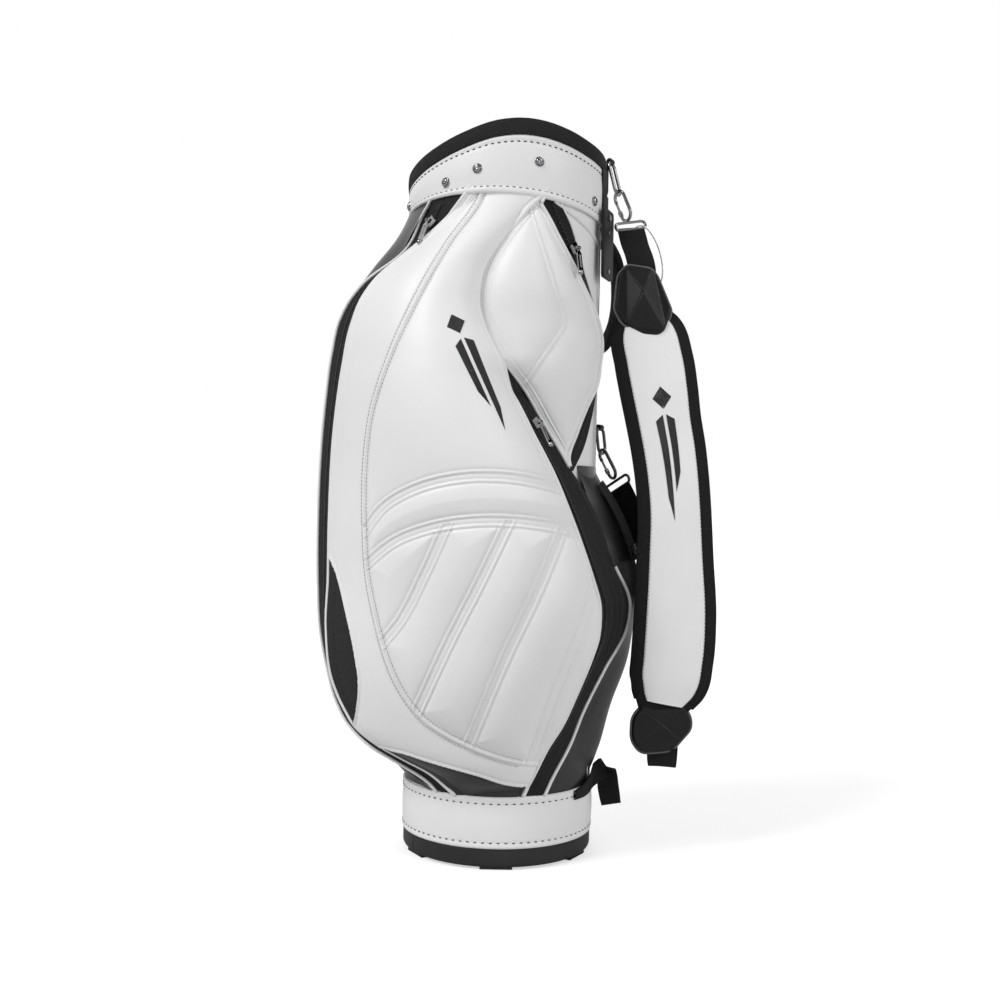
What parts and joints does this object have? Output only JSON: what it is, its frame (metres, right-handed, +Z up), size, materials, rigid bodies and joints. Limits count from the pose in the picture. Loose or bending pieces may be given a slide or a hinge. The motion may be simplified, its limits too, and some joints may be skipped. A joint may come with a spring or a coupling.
{
  "type": "golf staff bag",
  "caption": "Free-standing golf staff bag: tubular body with divided mouth, moulded base, zipped side pockets, grab handle and a padded shoulder strap on spring hooks.",
  "frame": {"origin": "centre of the base's underside, on the floor plane", "axes": "+Z up along the tube; -Y to the front pocket; +X to the shoulder strap"},
  "size_m": [0.4885, 0.3192, 0.8679],
  "materials": {
    "base_plastic": "matte",
    "feet_rubber": "matte",
    "foam_pad": "matte",
    "tube_sheet": "matte",
    "white_leather": "satin",
    "white_cuff": "satin",
    "ring_plastic": "matte",
    "white_upper_cuff": "satin",
    "rim_mesh": "matte",
    "divider_plastic": "matte",
    "panel_cloth": "matte",
    "wing_cloth": "matte",
    "stay_rod": "satin",
    "front_leather": "satin",
    "petal_leather": "satin",
    "right_leather": "satin",
    "left_leather": "satin",
    "left_tape_cloth": "matte",
    "left_slider_metal": "polished",
    "left_puller_metal": "polished",
    "petal_tape_cloth": "matte",
    "petal_slider_metal": "polished",
    "petal_puller_metal": "polished",
    "front_tape_cloth": "matte",
    "front_slider_metal": "polished",
    "front_puller_metal": "polished",
    "side_tape_cloth": "matte",
    "side_slider_metal": "polished",
    "side_puller_metal": "polished",
    "upper_ring_metal": "polished",
    "lower_ring_metal": "polished",
    "upper_tab_leather": "satin",
    "lower_tab_leather": "satin",
    "upper_hook_metal": "polished",
    "upper_gate_metal": "polished",
    "lower_hook_metal": "polished",
    "lower_gate_metal": "polished",
    "upper_dee_metal": "polished",
    "lower_dee_metal": "polished",
    "pad_cover": "satin",
    "upper_cap_leather": "satin",
    "lower_cap_leather": "satin",
    "upper_web": "matte",
    "lower_web": "matte",
    "adjuster_plastic": "satin",
    "stud_metal": "polished",
    "tag_leather": "satin",
    "tag_rivet_metal": "polished",
    "hanger_leather": "satin",
    "tag_pivot_metal": "polished",
    "handle_pad": "matte",
    "loop_web": "matte",
    "cable_metal": "satin"
  },
  "bodies": {
    "bag": {"base_cup": "base_plastic", "base_feet": "feet_rubber", "floor_pad": "foam_pad", "body_tube": "tube_sheet", "body_cover": "white_leather", "lower_cuff": "white_cuff", "top_ring": "ring_plastic", "upper_cuff": "white_upper_cuff", "rim_pad": "rim_mesh", "divider_grid": "divider_plastic", "divider_panel_centre": "panel_cloth", "divider_panel_wings": "wing_cloth", "stays": "stay_rod", "front_pocket": "front_leather", "petal_pocket": "petal_leather", "right_side_pocket": "right_leather", "left_side_pocket": "left_leather", "left_zip_tape": "left_tape_cloth", "petal_zip_tape": "petal_tape_cloth", "front_zip_tape": "front_tape_cloth", "side_zip_tape": "side_tape_cloth", "upper_ring": "upper_ring_metal", "lower_ring": "lower_ring_metal", "upper_ring_tab": "upper_tab_leather", "lower_ring_tab": "lower_tab_leather", "hood_snap_studs": "stud_metal", "tag_hanger": "hanger_leather", "tag_pivot_rivet": "tag_pivot_metal", "grab_handle": "handle_pad", "base_grab_loop": "loop_web"},
    "strap": {"upper_hook": "upper_hook_metal", "upper_dee": "upper_dee_metal", "upper_webbing": "upper_web", "upper_pad_cap": "upper_cap_leather", "shoulder_pad": "pad_cover", "lower_pad_cap": "lower_cap_leather", "lower_webbing": "lower_web", "strap_adjuster": "adjuster_plastic", "lower_dee": "lower_dee_metal", "lower_hook": "lower_hook_metal", "cable_ring": "cable_metal"},
    "upper_gate": {"upper_hook_gate": "upper_gate_metal"},
    "lower_gate": {"lower_hook_gate": "lower_gate_metal"},
    "tag": {"name_tag": "tag_leather", "tag_rivets": "tag_rivet_metal"},
    "left_slider": {"left_zip_slider": "left_slider_metal"},
    "left_puller": {"left_zip_puller": "left_puller_metal"},
    "petal_slider": {"petal_zip_slider": "petal_slider_metal"},
    "petal_puller": {"petal_zip_puller": "petal_puller_metal"},
    "front_slider": {"front_zip_slider": "front_slider_metal"},
    "front_puller": {"front_zip_puller": "front_puller_metal"},
    "side_slider": {"side_zip_slider": "side_slider_metal"},
    "side_puller": {"side_zip_puller": "side_puller_metal"}
  },
  "joints": [
    {"name": "strap_swing", "type": "hinge", "parent": "bag", "child": "strap", "pos_m": [0.139, 0, 0.811], "axis": [0.0371, -0.0988, 0.9944], "range_deg": [0, 35]},
    {"name": "upper_gate_spring", "type": "hinge", "parent": "strap", "child": "upper_gate", "pos_m": [0.14204, 0.00234, 0.7887], "axis": [0.8266, 0.5369, 0.1689], "range_deg": [0, 25], "stiffness_Nm_per_rad": 0.02, "springref_deg": -17.19},
    {"name": "lower_gate_spring", "type": "hinge", "parent": "strap", "child": "lower_gate", "pos_m": [0.1334, 0.03433, 0.46743], "axis": [0.854, 0.4255, 0.2994], "range_deg": [0, 25], "stiffness_Nm_per_rad": 0.02, "springref_deg": -17.19},
    {"name": "tag_swing", "type": "hinge", "parent": "bag", "child": "tag", "pos_m": [0.1231, -0.0358, 0.773], "axis": [0.9397, -0.3419, 0], "range_deg": [-30, 4]},
    {"name": "left_zip_run", "type": "hinge", "parent": "bag", "child": "left_slider", "pos_m": [-0.37936, -0.33707, 0.90285], "axis": [-0.3014, 0.7238, 0.6207], "range_deg": [-0.92, 14.39]},
    {"name": "left_puller_swing", "type": "hinge", "parent": "left_slider", "child": "left_puller", "pos_m": [-0.09338, -0.09115, 0.75512], "axis": [-0.6427, 0.7661, 0], "range_deg": [0, 120]},
    {"name": "petal_zip_run", "type": "hinge", "parent": "bag", "child": "petal_slider", "pos_m": [-0.53288, -0.08944, 0.4177], "axis": [-0.1197, 0.9578, 0.2612], "range_deg": [-4.05, 5.6]},
    {"name": "petal_puller_swing", "type": "hinge", "parent": "petal_slider", "child": "petal_puller", "pos_m": [0.08365, -0.10098, 0.72353], "axis": [-0.6681, -0.7441, 0], "range_deg": [0, 120]},
    {"name": "front_zip_run", "type": "hinge", "parent": "bag", "child": "front_slider", "pos_m": [-0.53459, 0.30222, 0.18912], "axis": [0.4529, 0.8333, 0.317], "range_deg": [-2.87, 13.09]},
    {"name": "front_puller_swing", "type": "hinge", "parent": "front_slider", "child": "front_puller", "pos_m": [0.04191, -0.13503, 0.51801], "axis": [-0.4862, -0.8738, 0], "range_deg": [0, 120]},
    {"name": "side_zip_run", "type": "hinge", "parent": "bag", "child": "side_slider", "pos_m": [-0.09483, -0.0667, 0.28268], "axis": [-0.1546, 0.9875, 0.0315], "range_deg": [-18.24, 0.96]},
    {"name": "side_puller_swing", "type": "hinge", "parent": "side_slider", "child": "side_puller", "pos_m": [0.16793, -0.03252, 0.37217], "axis": [-0.447, -0.8945, 0], "range_deg": [0, 120]}
  ]
}
